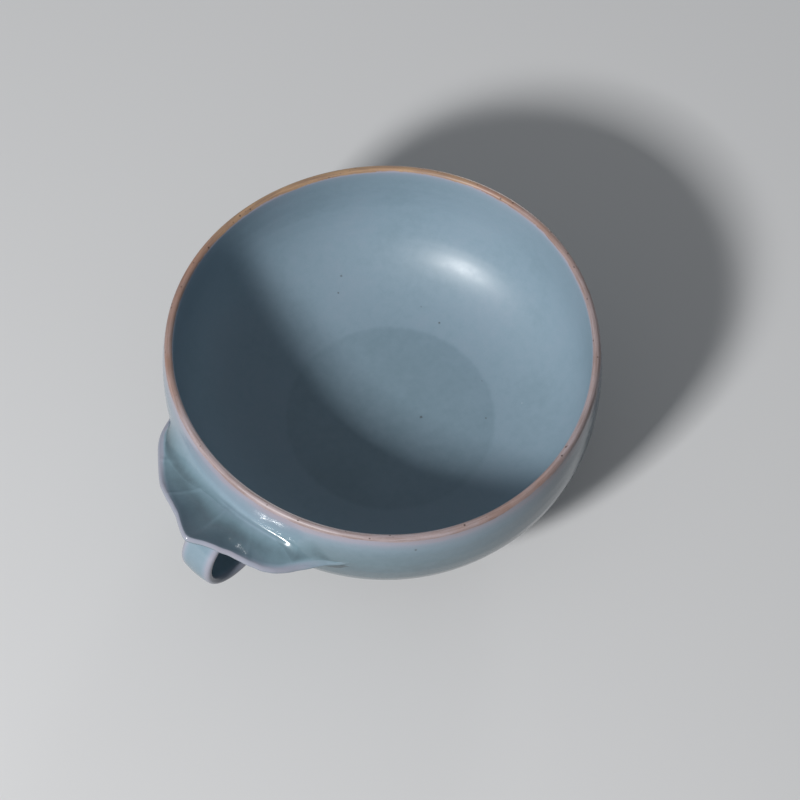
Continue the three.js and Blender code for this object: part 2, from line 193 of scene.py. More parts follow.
# Iron specks in the glaze and on the bare lip: place from the bowl's axis on the table, radius
GLAZE_SPECKS = (
    (-19.7, -31.4, 13.2, 0.36), (-16.5, -29.4, 11.5, 0.3), (-27.7, -7.0, 9.2, 0.34),
    (-27.8, -12.9, 9.9, 0.2), (-6.2, 6.6, 8.1, 0.42), (-16.2, 18.0, 8.4, 0.24),
    (-23.0, 10.7, 8.4, 0.18), (31.6, 38.0, 37.2, 0.5), (12.0, 47.6, 30.0, 0.22),
    (-38.0, 28.0, 24.0, 0.24), (-31.0, -36.5, 22.0, 0.3), (9.0, -44.0, 17.0, 0.22),
)
PINHOLES = ((-24.1, 22.1, 10.2, 0.24), (-40.5, -12.0, 19.0, 0.2), (-12.0, -36.0, 15.5, 0.18))
LIP_PITS = (
    (-2.9, -47.5, 41.4, 0.3), (13.5, -46.4, 41.3, 0.32), (-0.6, -47.5, 41.4, 0.2),
    (-5.8, -47.1, 41.4, 0.24), (-5.6, -46.6, 41.0, 0.3), (34.5, 33.8, 41.3, 0.26),
    (38.0, 30.3, 41.2, 0.3), (40.3, 25.4, 41.4, 0.2), (-44.5, 17.9, 41.4, 0.28),
    (-7.8, 46.9, 41.3, 0.36), (-30.6, -37.0, 41.4, 0.2), (46.5, -12.2, 41.3, 0.22),
)

MM = 0.001
AXIS_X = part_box("thumb_plate")[1].x / MM - PLATE_TIP


# Curves of the bowl

def smooth_step(low, high, value):
    """0 below low, 1 above high, and an S-curve between them."""
    t = np.clip((value - low) / (high - low), 0, 1)
    return t * t * (3 - 2 * t)


def softened(rows, spread):
    """Rows smoothed along their first axis with a bell curve, spread in rows; ends stay."""
    reach = int(4 * spread) + 1
    bell = np.exp(-0.5 * (np.arange(-reach, reach + 1) / spread) ** 2)
    bell /= bell.sum()
    head = 2 * rows[0] - rows[reach:0:-1]
    tail = 2 * rows[-1] - rows[-2:-reach - 2:-1]
    padded = np.concatenate([head, rows, tail])
    return np.stack([np.convolve(column, bell, "valid") for column in padded.T], axis=1)


def evenly(points, step):
    """Points along a polyline, a step apart."""
    gaps = np.linalg.norm(np.diff(points, axis=0), axis=1)
    along = np.concatenate([[0], np.cumsum(gaps)])
    places = np.linspace(0, along[-1], int(along[-1] / step) + 1)
    return np.stack([np.interp(places, along, column) for column in points.T], axis=1)


def wall_radius(height):
    """Outer radius: a parabola from lip to belly, and a superellipse from belly to foot."""
    neck = np.clip((height - BELLY_HEIGHT) / (CUP_HEIGHT - LIP_HALF - BELLY_HEIGHT), 0, 1)
    upper = BELLY_RADIUS - (BELLY_RADIUS - LIP_RADIUS - LIP_HALF) * neck ** 2
    drop = np.clip((BELLY_HEIGHT - height) / (BELLY_HEIGHT - FOOT_HEIGHT), 0, 1)
    across = BELLY_RADIUS - OUTER_CURVE_CENTRE
    lower = OUTER_CURVE_CENTRE + across * (1 - drop ** WALL_FULLNESS) ** (1 / WALL_FULLNESS)
    return np.where(height > BELLY_HEIGHT, upper, lower)


def warp(azimuth, height):
    """Third harmonic of the azimuth in radians, growing from the foot to the lip."""
    share = np.clip((height - FOOT_HEIGHT) / (CUP_HEIGHT - FOOT_HEIGHT), 0, 1)
    return WARP_HEIGHT * share * np.cos(3 * (azimuth - math.radians(WARP_AZIMUTH)))


def wall_at(azimuth, height):
    return wall_radius(height) + warp(azimuth, height)


def quarter(centre, belly, low, end, count):
    """Superellipse quarter from the belly down to radius end, as (radius, height) rows."""
    across = belly - centre
    last = math.acos(((end - centre) / across) ** (WALL_FULLNESS / 2))
    turn = np.linspace(0, last, count)
    radius = centre + across * np.cos(turn) ** (2 / WALL_FULLNESS)
    height = BELLY_HEIGHT - (BELLY_HEIGHT - low) * np.sin(turn) ** (2 / WALL_FULLNESS)
    return np.stack([radius, height], axis=1)


def bowl_profile():
    """Outline from the middle of the underside over foot, wall and lip to the floor's middle.

    The foot is a polygon, the walls are superellipse quarters and the lip is a half circle.
    All of it is then smoothed along its length, which rounds the corners as glaze does.
    """
    inner_top = FOOT_RADIUS - FOOT_WIDTH
    inner_low = inner_top + FOOT_TAPER
    outer_low = FOOT_RADIUS - FOOT_TAPER
    # Recess, inner side, the ring that it rests on, outer side
    foot = np.array([
        (0, FOOT_RECESS + 0.25), (inner_top * 0.5, FOOT_RECESS + 0.1), (inner_top, FOOT_RECESS),
        (inner_low - 0.2, 0.35), (inner_low + 0.15, 0), (outer_low - 0.75, 0),
        (outer_low, 0.7), (FOOT_RADIUS - 0.1, 4.0),
    ])
    outer = quarter(OUTER_CURVE_CENTRE, BELLY_RADIUS, FOOT_HEIGHT, FOOT_RADIUS + 0.5, 160)[::-1]
    heights = np.linspace(BELLY_HEIGHT, CUP_HEIGHT - LIP_HALF, 40)[1:]
    neck = np.stack([wall_radius(heights), heights], axis=1)
    turn = np.linspace(0, math.pi, 40)[1:-1]
    lip = np.stack([
        LIP_RADIUS + LIP_HALF * np.cos(turn),
        CUP_HEIGHT - LIP_HALF + LIP_CROWN * LIP_HALF * np.sin(turn),
    ], axis=1)
    share = np.linspace(0, 1, 30)[:-1]
    inner_belly = BELLY_RADIUS - WALL_THICKNESS
    inside_lip = LIP_RADIUS - LIP_HALF
    inner_neck = np.stack([
        inside_lip + (inner_belly - inside_lip) * (1 - (1 - share) ** 2),
        CUP_HEIGHT - LIP_HALF + (BELLY_HEIGHT - CUP_HEIGHT + LIP_HALF) * share,
    ], axis=1)
    inner = quarter(INNER_CURVE_CENTRE, inner_belly, INNER_CURVE_LOW, WELL_RADIUS, 160)
    across = np.linspace(1, 0, 60)[1:]
    floor = np.stack([
        WELL_RADIUS * across, inner[-1, 1] - WELL_DISH * (1 - across ** 2)], axis=1)
    rough = np.concatenate([foot, outer, neck, lip, inner_neck, inner, floor])
    fine = softened(evenly(rough, PROFILE_STEP), PROFILE_SOFTENING)
    fine[[0, -1], 0] = 0
    return fine


def spread_by_bend(path, count):
    """Row numbers, with fractions, of count places on a fine path, closer where it bends more."""
    steps = np.diff(path, axis=0)
    lengths = np.linalg.norm(steps, axis=1)
    heading = np.unwrap(np.arctan2(steps[:, 1], steps[:, 0]))
    bend = np.abs(np.gradient(heading)) / lengths
    bend = softened(bend[:, None], BEND_SOFTENING)[:, 0]
    weight = lengths * (1 + BEND_PULL * np.sqrt(np.abs(bend)))
    along = np.concatenate([[0], np.cumsum(weight)])
    return np.interp(np.linspace(0, along[-1], count), along, np.arange(len(path)))


def outer_glaze_and_shade(azimuth, height):
    """How thin the glaze lies outside, by azimuth in degrees and height.

    It ran down from the lip, so it falls away below it by an exponential. Below the belly and
    to the near side of the plate it is darkened by painted shade.
    """
    below = np.clip(CUP_HEIGHT - LIP_BAND_START - height, 0, None)
    around = np.interp(azimuth, OUTER_GLAZE_PLACES, OUTER_THIN_AND_SHADE)
    low = LOW_WALL_SHADE * smooth_step(36, 22, height) * smooth_step(8, 16, height)
    lip_band = (1 - around) * np.exp(-below / LIP_BAND_FADE)
    return around * smooth_step(8, 22, height) - low + lip_band


def throwing_marks(azimuth, height):
    """Change of radius: sines of the height that sway round the wall, and a slow unevenness."""
    rings = sum(
        depth * np.sin(height * pitch + sway * np.sin(azimuth + start))
        for depth, pitch, sway, start in THROWING_RINGS)
    slow = SLOW_WAVE * np.sin(2 * azimuth + 0.21 * height) * np.cos(0.13 * height + azimuth)
    return (rings + slow) * smooth_step(6, 12, height) * smooth_step(CUP_HEIGHT, 39, height)


def finished_wall(azimuth, height):
    """Outer radius of the finished bowl: plain wall, scaled by its warp, plus throwing marks."""
    grow = 1 + warp(azimuth, height) / LIP_RADIUS
    return wall_radius(height) * grow + throwing_marks(azimuth, height)


# Meshes

SHARP_ANGLE = 55  # degrees; a steeper bend is shaded as an edge
BOWL_SHARP_ANGLE = 60


def to_metres(points):
    """Points in mm from the bowl's axis, in metres from the frame's origin."""
    moved = np.asarray(points, float).reshape(-1, 3) * MM
    moved[:, 0] += AXIS_X * MM
    return moved


def new_piece(name, points, faces, shades, sharp_angle):
    """A smooth-shaded mesh object; shades holds its named per-vertex values."""
    mesh = bpy.data.meshes.new(name)
    mesh.from_pydata(to_metres(points).tolist(), [], faces)
    mesh.polygons.foreach_set("use_smooth", np.ones(len(mesh.polygons), bool))
    mesh.set_sharp_from_angle(angle=math.radians(sharp_angle))
    for shade, values in shades.items():
        layer = mesh.attributes.new(shade, "FLOAT", "POINT")
        layer.data.foreach_set("value", np.asarray(values, np.float32).ravel())
    mesh.validate()
    piece = bpy.data.objects.new(name, mesh)
    bpy.context.scene.collection.objects.link(piece)
    return piece


def grid_faces(rows, columns, wrap_rows, wrap_columns):
    """Quads of a grid of vertices, numbered row by row."""
    i = np.arange(rows if wrap_rows else rows - 1)
    j = np.arange(columns if wrap_columns else columns - 1)
    a = (i[:, None] * columns + j).ravel()
    b = (i[:, None] * columns + (j + 1) % columns).ravel()
    down = ((i + 1) % rows)[:, None] * columns
    c = (down + (j + 1) % columns).ravel()
    d = (down + j).ravel()
    return np.stack([a, b, c, d], axis=1)


def turned_piece(name, points, south, north, shades):
    """A surface of revolution: rows of points run from near the south to near the north pole."""
    rows, columns = points.shape[:2]
    quads = grid_faces(rows, columns, True, False)
    i = np.arange(rows)
    low, high = rows * columns, rows * columns + 1
    after = ((i + 1) % rows) * columns
    start = np.stack([np.full(rows, low), i * columns, after], axis=1)
    end = np.stack([i * columns + columns - 1, np.full(rows, high), after + columns - 1], axis=1)
    faces = quads.tolist() + start.tolist() + end.tolist()
    vertices = np.concatenate([points.reshape(-1, 3), [south, north]])
    values = {
        shade: np.concatenate([field.ravel(), field[0, :1], field[0, -1:]])
        for shade, field in shades.items()
    }
    return new_piece(name, vertices, [face[::-1] for face in faces], values, BOWL_SHARP_ANGLE)


def tube_piece(name, grids, shades, flip=False):
    """Closed tubes: each grid holds rows of closed outlines, and its ends are capped by fans."""
    vertices, faces, fields = [], [], {shade: [] for shade in shades[0]}
    start = 0
    for grid, values in zip(grids, shades):
        rows, columns = grid.shape[:2]
        quads = grid_faces(rows, columns, False, True)
        j = np.arange(columns)
        after = (j + 1) % columns
        first, last = rows * columns, rows * columns + 1
        base = (rows - 1) * columns
        near = np.stack([after, j, np.full(columns, first)], axis=1)
        far = np.stack([base + j, base + after, np.full(columns, last)], axis=1)
        for part in (quads, near, far):
            faces += (part + start).tolist()
        ends = [grid[0].mean(axis=0), grid[-1].mean(axis=0)]
        vertices.append(np.concatenate([grid.reshape(-1, 3), ends]))
        for shade, field in values.items():
            fields[shade].append(np.concatenate([field.ravel(), field[0, :1], field[-1, :1]]))
        start += rows * columns + 2
    if flip:
        faces = [face[::-1] for face in faces]
    merged = {shade: np.concatenate(parts) for shade, parts in fields.items()}
    return new_piece(name, np.concatenate(vertices), faces, merged, SHARP_ANGLE)


def loop_piece(name, grid, shades, flip):
    """A closed ring of closed outlines, as a collar round the end of a strap."""
    rows, columns = grid.shape[:2]
    faces = grid_faces(rows, columns, True, True).tolist()
    if flip:
        faces = [face[::-1] for face in faces]
    return new_piece(name, grid.reshape(-1, 3), faces, shades, SHARP_ANGLE)


# Bowl

def bowl_outline():
    """Radius, height and length past the lip's crest, row by row, and which rows lie under."""
    path = bowl_profile()
    index = spread_by_bend(path, BOWL_STEPS)
    columns = np.arange(len(path))
    radius = np.interp(index, columns, path[:, 0])
    height = np.interp(index, columns, path[:, 1])
    gaps = np.concatenate([[0], np.cumsum(np.linalg.norm(np.diff(path, axis=0), axis=1))])
    along = np.interp(index, columns, gaps)
    crest = int(np.argmax(height))
    under = (index < index[crest]) & (height < FOOT_RECESS + 0.6)
    return radius, height, along - along[crest], under


def bowl_shades(azimuth, r, z, past_lip, under):
    """Thinness of the glaze, bare clay, its flash and the inside, for each point of the bowl.

    Bare clay ends in S-curves along lines that wander by sines of the azimuth. The glaze
    thins by exponentials beside them and pools where the foot meets the wall.
    """
    inside = past_lip > 0
    wander = sum(depth * np.sin(waves * azimuth + start) for depth, waves, start in BARE_WANDER)
    lip_bare = smooth_step(*BARE_OUTSIDE, past_lip + wander) \
        * smooth_step(*BARE_INSIDE, past_lip + 0.7 * wander)
    foot_zone = under & (r > FOOT_RADIUS - FOOT_WIDTH - 0.8)
    foot_bare = np.where(foot_zone, smooth_step(*BARE_FOOT, z + wander), 0)
    bare = np.maximum(lip_bare, foot_bare)

    degrees = (np.degrees(azimuth) + 180) % 360 - 180
    # Outside, the glaze's thinness also holds painted shade on the lower wall and to the near side
    # of the plate.
    outside_thin_and_shade = outer_glaze_and_shade(degrees, z) * (past_lip < 0)
    inside_thin = np.exp(-np.clip(past_lip - 1.0, 0, None)) * (past_lip >= 0)
    foot_thin = np.where(foot_zone, np.exp(-np.clip(z - 1.2, 0, None) / 0.9), 0)
    foot_pool = np.exp(-((r - FOOT_RADIUS - 0.4) ** 2 + (z - 4.9) ** 2) / 2.2)
    well = np.where(inside, smooth_step(WELL_RADIUS + 0.6, WELL_RADIUS - 0.6, r), 0)
    thin = np.where(foot_zone, foot_thin, outside_thin_and_shade + inside_thin)
    thin = thin - 0.7 * foot_pool - 0.1 * well
    flash = np.interp(degrees % 360, FLASH_PLACES, FLASH_VALUES)
    shape = np.broadcast_shapes(thin.shape, bare.shape)
    fields = {"thin": thin, "bare": bare, "flash": flash, "inside": smooth_step(0, 1.5, past_lip)}
    return {shade: np.broadcast_to(field, shape) for shade, field in fields.items()}


def bowl_body():
    """Outline turned about the axis, warped, with the inside slid over towards the well."""
    radius, height, past_lip, under = bowl_outline()
    azimuth = np.linspace(0, 2 * math.pi, BOWL_SIDES, endpoint=False)[:, None]
    r, z, past_lip, under = (row[None, 1:-1] for row in (radius, height, past_lip, under))
    grow = warp(azimuth, z) / LIP_RADIUS
    turned = r * (1 + grow) + throwing_marks(azimuth, z) * smooth_step(8, 20, r)
    slide = np.where(past_lip > 0, smooth_step(BELLY_HEIGHT, INNER_CURVE_LOW + 0.5, z), 0)
    x = turned * np.cos(azimuth) + WELL_SHIFT[0] * slide
    y = turned * np.sin(azimuth) + WELL_SHIFT[1] * slide
    points = np.stack([x, y, np.broadcast_to(z, x.shape)], axis=2)
    south = (0, 0, height[0])
    north = (*WELL_SHIFT, height[-1])
    shades = bowl_shades(azimuth, r, z, past_lip, under)
    return turned_piece("bowl_body", points, south, north, shades)


# Thumb plate

def plate_ends(azimuth):
    """1 over most of the plate, falling to 0 where it dies into the wall at its two ends."""
    return smooth_step(-36, -33.5, azimuth) * smooth_step(28.5, 21, azimuth)


def near_end(azimuth):
    """1 along the plate's near end, where its edge lies close over the wall."""
    return smooth_step(21, 29, azimuth) * smooth_step(34.5, 31, azimuth)


def painted_edge_shadow(azimuth):
    """1 where a painted shadow darkens the line under the edge: over the strap and at the near end.
    """
    over_strap = smooth_step(-5.5, -4, azimuth) * smooth_step(6.5, 5, azimuth)
    return over_strap + near_end(azimuth)


def plate_edge(azimuth):
    """Radius and height of the plate's outer edge.

    The measured points are joined by straight lines and softened, more on the far side, and
    two sines of the azimuth give the near side its small lumps.
    """
    fine = np.linspace(PLATE_EDGE[0, 0], PLATE_EDGE[-1, 0], 1400)
    rows = np.stack([np.interp(fine, PLATE_EDGE[:, 0], PLATE_EDGE[:, k]) for k in (1, 2)], axis=1)
    far_side = smooth_step(-13, -19, fine)[:, None]
    near, far = (softened(rows, spread) for spread in PLATE_EDGE_SOFTENING)
    rows = near * (1 - far_side) + far * far_side
    lumps = np.sin(1.25 * fine + 0.6) + 0.6 * np.sin(2.2 * fine)
    lumps = EDGE_LUMP * lumps * smooth_step(1, 6, fine) * smooth_step(24, 19, fine)
    rows[:, 0] += lumps
    rows[:, 1] += 0.6 * lumps
    radius = np.interp(azimuth, fine, rows[:, 0])
    return radius, CUP_HEIGHT - np.interp(azimuth, fine, rows[:, 1])


def plate_thickness(azimuth, share):
    """Thickness of the plate: full at the root, less at the edge, least at its two ends."""
    edge = PLATE_EDGE_THICKNESS * (0.35 + 0.65 * plate_ends(azimuth))
    edge = edge * (1 - 0.6 * smooth_step(23, 28.5, azimuth))
    return PLATE_THICKNESS + (edge - PLATE_THICKNESS) * np.clip(share, 0, 1)


def root_height(azimuth):
    """Height of the plate's root: level behind the handle, falling by a high power to its ends."""
    turned = np.minimum(np.abs(azimuth), PLATE_ROOT_LOWEST) / PLATE_ROOT_SPAN
    return CUP_HEIGHT - PLATE_ROOT_DROP - PLATE_ROOT_FALL * turned ** PLATE_ROOT_POWER


def plate_sheet(azimuth, out):
    """Height of the plate's plain middle sheet at a distance out from the wall, and its width.

    A straight run from the root to the edge, hollowed between. The width falls below nothing
    at the two ends, where the plate dies into the wall at its edge's height: there the root
    comes down to the edge.
    """
    edge_radius, edge_height = plate_edge(azimuth)
    root = root_height(azimuth)
    width = edge_radius - wall_at(np.radians(azimuth), root)
    above = root - edge_height - PLATE_ROOT_RISE
    root = edge_height + PLATE_ROOT_RISE + above * smooth_step(*PLATE_ROOT_WIDTHS, width)
    last = width - plate_thickness(azimuth, 1) / 2
    share = np.clip(1 + (out - last) / np.maximum(last, 0.3), -0.2, 1)
    depth = PLATE_DISH * (1 - 0.6 * smooth_step(10, 18, azimuth))
    depth = depth * np.clip(width / PLATE_DISH_SPAN, 0, 1)
    hollow = depth * np.sin(math.pi * np.clip(share, 0, 1)) ** np.where(share < 0.5, 1.5, 1)
    return root + (edge_height - root) * share - hollow, width


def cove_size(azimuth, width):
    """Reach of the cove along the plate and up the wall, held to the plate's width."""
    size = np.interp(azimuth, COVE_PLACES, COVE_SIZES)
    last = width - plate_thickness(azimuth, 1) / 2
    along = np.clip(np.minimum(size, COVE_SHARE * last), LEAST_REACH, None)
    return along, np.minimum(size, 1.5 + 1.5 * np.maximum(width, 0))


def leaf_fan(azimuth, out):
    """Distance and direction, in degrees, from the veins' focus."""
    angle = np.radians(azimuth)
    radius = wall_at(angle, root_height(azimuth)) + out
    x, y = radius * np.cos(angle), radius * np.sin(angle)
    return np.hypot(x - VEIN_FOCUS, y), np.degrees(np.arctan2(y, x - VEIN_FOCUS))


def leaf_veins(reach, fan):
    """The strongest vein at each place: a bell curve across its ray from the focus."""
    vein = np.zeros_like(reach)
    for vein_angle, strength in zip(VEIN_ANGLES, VEIN_STRENGTHS):
        aside = reach * np.sin(np.radians(fan - vein_angle))
        vein = np.maximum(vein, strength * np.exp(-(aside / VEIN_WIDTH) ** 2))
    return vein


def leaf_lobes(fan):
    """Squared sine from each vein to the next, highest midway between them."""
    bounds = np.array((LOBE_PLACES[0], *VEIN_ANGLES, LOBE_PLACES[-1]))
    lobe = np.clip(np.searchsorted(bounds, fan) - 1, 0, len(bounds) - 2)
    share = (fan - bounds[lobe]) / (bounds[lobe + 1] - bounds[lobe])
    return np.sin(math.pi * np.clip(share, 0, 1)) ** 2


def pale_edge(azimuth, out, width):
    """1 on the band along the plate's edge where the glaze drained thin, with soft borders."""
    band = np.interp(azimuth, PALE_BAND_PLACES, PALE_BAND_WIDTHS)
    band = band * (1 + 0.07 * np.sin(0.7 * azimuth) + 0.03 * np.sin(1.6 * azimuth + 1))
    blur = np.interp(azimuth, (-22, -8), (0.3, 0.65))
    edge = smooth_step((1 + blur) * band, (1 - blur) * band, width - out) * plate_ends(azimuth)
    return edge * np.maximum(smooth_step(0, 1.4, out), smooth_step(10, 0, azimuth))


def plate_relief(azimuth, out, width):
    """Height of the leaf's relief, and how thin the glaze lies over it.

    The relief adds the veins, the pools between them, the rolled edge and the ridge along the
    crease, the last two as bell curves. The glaze is thin on edge and ridge, lies deep in the
    lobes, and near the wall it takes the wall's own depth, with its painted shade.
    """
    reach, fan = leaf_fan(azimuth, out)
    between = leaf_lobes(fan)
    share = out / np.maximum(width, 1)
    inner = smooth_step(-0.06, np.interp(azimuth, (-22, -12, 10), (0.5, 0.5, 0.45)), share)
    outer = smooth_step(0.3, 3.0, width - out)
    vein = leaf_veins(reach, fan) * smooth_step(0.8, 2.6, out) * smooth_step(-0.2, 1.2, width - out)
    roll = np.exp(-((width - out - 0.9) / EDGE_ROLL_WIDTH) ** 2) * smooth_step(0.5, 3, width)
    ridge = np.exp(-((out - np.interp(azimuth, *CREASE_LINE)) / CREASE_RIDGE_WIDTH) ** 2)
    ridge = ridge * smooth_step(-9, 0, azimuth) * smooth_step(24, 18, azimuth)
    relief = VEIN_HEIGHT * vein - POOL_DEPTH * between * inner * outer
    relief = relief + EDGE_ROLL_HEIGHT * roll + CREASE_RIDGE_HEIGHT * ridge

    edge = pale_edge(azimuth, out, width)
    drained = smooth_step(0.38, 0.92, share) * np.interp(azimuth, (-24, -12), (0.3, 0.7))
    deep = np.interp(fan, LOBE_PLACES, LOBE_POOLS) * (0.85 + 0.15 * between)
    deep = deep * inner * (1 - drained) * (1 - edge) * plate_ends(azimuth)
    thin = np.maximum(EDGE_THIN * edge, CREASE_RIDGE_THIN * ridge)
    # Near the wall the plate takes the wall's values, with their painted shade to the near side of
    # the plate.
    beside = np.interp(azimuth, OUTER_GLAZE_PLACES, OUTER_THIN_AND_SHADE) * (1 - inner)
    thin = thin + beside * (1 - np.clip(thin / EDGE_THIN, 0, 1))
    return relief, thin - deep * (1 - 0.3 * vein)


def leaf_plate():
    """Radial sections: the dished top with its relief, a half-round edge and a plain underside."""
    azimuth = np.linspace(
        PLATE_EDGE[0, 0] + PLATE_END_CUT, PLATE_EDGE[-1, 0] - PLATE_END_CUT, PLATE_ROWS)[:, None]
    angle = np.radians(azimuth)
    edge_radius, _ = plate_edge(azimuth)
    root = wall_at(angle, root_height(azimuth))
    half = plate_thickness(azimuth, 1) / 2
    last = edge_radius - half - root
    back = np.minimum(-PLATE_SUNK, last - 0.6)
    share = np.linspace(0, 1, PLATE_TOP_STEPS)[None, :]
    out = back + (last - back) * share
    middle, width = plate_sheet(azimuth, out)
    relief, thin = plate_relief(azimuth, out, width)
    top = middle + relief
    low = middle - plate_thickness(azimuth, out / np.maximum(width, 1))

    turn = np.linspace(math.pi / 2, -math.pi / 2, PLATE_NOSE_STEPS)[None, 1:-1]
    edge_top, edge_low = top[:, -1:], low[:, -1:]
    nose_out = last + half * np.cos(turn)
    nose_height = (edge_top + edge_low) / 2 + (edge_top - edge_low) / 2 * np.sin(turn)
    nose_thin_and_shadow = np.maximum(smooth_step(0, 1.4, last), smooth_step(10, 0, azimuth))
    nose_thin_and_shadow = nose_thin_and_shadow * EDGE_THIN * plate_ends(azimuth)
    nose_thin_and_shadow = nose_thin_and_shadow * (0.5 + 0.5 * smooth_step(-0.6, 0.5, np.sin(turn)))
    # Painted shadow: the lower half of the edge over the strap, and the underside at the near end,
    # are darkened where the edge shades what lies below it.
    edge_shadow = painted_edge_shadow(azimuth) * smooth_step(0.2, -0.2, np.sin(turn))
    nose_thin_and_shadow = nose_thin_and_shadow * (1 - edge_shadow) - edge_shadow
    underside_thin_and_shadow = 0.5 * smooth_step(1.8, 0.2, width - out) * (1 - near_end(azimuth))
    underside_thin_and_shadow = underside_thin_and_shadow - 0.9 * near_end(azimuth)

    radius = root + np.concatenate([out, nose_out, out[:, ::-1]], axis=1)
    height = np.concatenate([top, nose_height, low[:, ::-1]], axis=1)
    leaf_thin_and_shadow = np.concatenate([thin, nose_thin_and_shadow, underside_thin_and_shadow[:, ::-1]], axis=1)
    points = np.stack([radius * np.cos(angle), radius * np.sin(angle), height], axis=2)
    return tube_piece("leaf_plate", [points], [{"thin": leaf_thin_and_shadow}])


# Slip seams

def fillet_outline():
    """Section of a fillet and its skirts, as (away, off, away skirt, off skirt).

    The first pair is in shares of the fillet's reach: a Bezier curve of five points, two of
    them along each neighbour, so that it starts and ends without any bend. The second pair
    is in millimetres: skirts that run on along both neighbours and sink below them. Inner
    points close the outline.
    """
    s = np.linspace(0, 1, 21)
    run = np.linspace(1, 0, 5)[:-1]
    below = np.linspace(0, 1, 9)
    dive = -SKIRT_DIVE * run ** 2
    ones, zeros, middle = np.ones(len(run)), np.zeros(len(run)), np.zeros(len(s))
    curve_away = (1 - s) ** 4 + 2 * s * (1 - s) ** 3
    curve_off = s ** 4 + 2 * (1 - s) * s ** 3
    core = -FILLET_CORE * np.ones(len(below))
    away = np.concatenate([ones, curve_away, zeros, [0], below])
    off = np.concatenate([zeros, curve_off, ones, [1], 0 * below])
    more_away = np.concatenate([SKIRT * run, middle, dive[::-1], core[:1], core * (1 - below)])
    more_off = np.concatenate([dive, middle, SKIRT * run[::-1], [0.2], core])
    return away, off, more_away, more_off


def seam_reach(azimuth, width, side):
    """Reach of a cove of slip along the plate and along the wall, above it (1) or below (-1)."""
    if side > 0:
        return cove_size(azimuth, width)
    last = width - plate_thickness(azimuth, 1) / 2
    under = np.minimum(UNDER_FILLET - 0.9 * smooth_step(14, 21, azimuth), 0.5 * last)
    under = np.clip(under, LEAST_REACH, None)
    # At the plate's near end the lower cove runs on down the wall, flush with it, to carry a band
    # of painted shadow under the edge.
    return under, under + (0.8 + 2 * np.maximum(width, 0)) * near_end(azimuth)


def leaf_seam():
    """Coves of slip above and below the plate's root: the fillet's section swept along the wall.

    Both grow and fade with the plate's width at its two ends, where they sink into the wall.
    Their glaze goes from the plate's depth to the wall's by an S-curve, and lies deeper midway
    by a sine. Under the plate's near end the lower cove runs on down the wall and carries a
    band of painted shadow.
    """
    azimuth = np.linspace(*SEAM_ENDS, SEAM_ROWS)[:, None]
    angle = np.radians(azimuth)
    away, off, more_away, more_off = fillet_outline()
    _, width = plate_sheet(azimuth, 0)
    last = width - plate_thickness(azimuth, 1) / 2
    sunk = 0.75 * smooth_step(0, -0.3, width)
    pool = np.interp(azimuth, COVE_POOL_PLACES, COVE_POOLS) * smooth_step(0, 0.9, width)
    grids, fields = [], []
    for side in (1, -1):
        along, up = seam_reach(azimuth, width, side)
        room = np.clip((last - along) / SKIRT, 0, 1)
        skirt = np.where(more_away > 0, more_away * room, more_away)
        out = along * away[None, :] + skirt - sunk
        rise = up * off[None, :] + more_off[None, :]
        middle, _ = plate_sheet(azimuth, out)
        relief, plate_thin = plate_relief(azimuth, out, width)
        climb = smooth_step(0.9 * along, 0.05 * along, out)
        if side > 0:
            height = middle + relief + rise
            beside, edge_shadow = plate_thin, 0
        else:
            height = middle - plate_thickness(azimuth, out / np.maximum(width, 1)) - rise
            # Painted shadow on the band of wall just under the plate's near end.
            beside, edge_shadow = 0, near_end(azimuth) * smooth_step(1.15 * up, 0.6 * up, rise)
        radius = finished_wall(angle, height) + out
        points = np.stack([radius * np.cos(angle), radius * np.sin(angle), height], axis=2)
        pooled = pool * np.sin(math.pi * np.clip(out / along, 0, 1)) ** 0.7
        thin = beside * (1 - climb) + outer_glaze_and_shade(azimuth, height) * climb - pooled - edge_shadow
        grids.append(points[:, ::side])
        fields.append({"thin": thin[:, ::side]})
    return tube_piece("leaf_slip_seam", grids, fields, flip=True)


# Finger ring

RING_CENTRE = float(wall_radius(np.array(RING_HEIGHT))) + RING_STAND_OFF


def strap_outline():
    """Closed section of the strap as (distance from the ring's axis, place across the strap).

    Two half circles joined by a flat inner face and an outer face crowned by a parabola,
    all softened a little along its length.
    """
    half = RING_THICKNESS / 2
    flat = RING_WIDTH / 2 - half
    middle = RING_BORE + half
    across = np.linspace(-flat, flat, 40)
    crown = RING_CROWN * (1 - (across / flat) ** 2)
    turn = np.linspace(0, math.pi, 24)[1:-1]
    outer = np.stack([middle + half + crown, across], axis=1)
    far = np.stack([middle + half * np.cos(turn), flat + half * np.sin(turn)], axis=1)
    inner = np.stack([np.full(len(across), RING_BORE), across[::-1]], axis=1)
    near = np.stack([middle - half * np.cos(turn), -flat - half * np.sin(turn)], axis=1)
    closed = np.concatenate([outer, far, inner, near, outer[:1]])
    fine = evenly(closed, PROFILE_STEP)[:-1]
    three = softened(np.concatenate([fine, fine, fine]), STRAP_SOFTENING)
    ring = three[len(fine):2 * len(fine)]
    return ring[np.linspace(0, len(ring), STRAP_OUTLINE_POINTS, endpoint=False).astype(int)]


def strap_point(turn, section):
    """Places on the ring: turn in radians from the outermost point, up over the top."""
    radius, across = section[..., 0], section[..., 1]
    x = RING_CENTRE + radius * np.cos(turn)
    z = RING_HEIGHT + radius * np.sin(turn)
    return np.stack([x, across + 0 * x, z], axis=-1)


def off_wall(points):
    """How far points lie outside the bowl's outer wall, measured level."""
    azimuth = np.arctan2(points[..., 1], points[..., 0])
    return np.hypot(points[..., 0], points[..., 1]) - finished_wall(azimuth, points[..., 2])


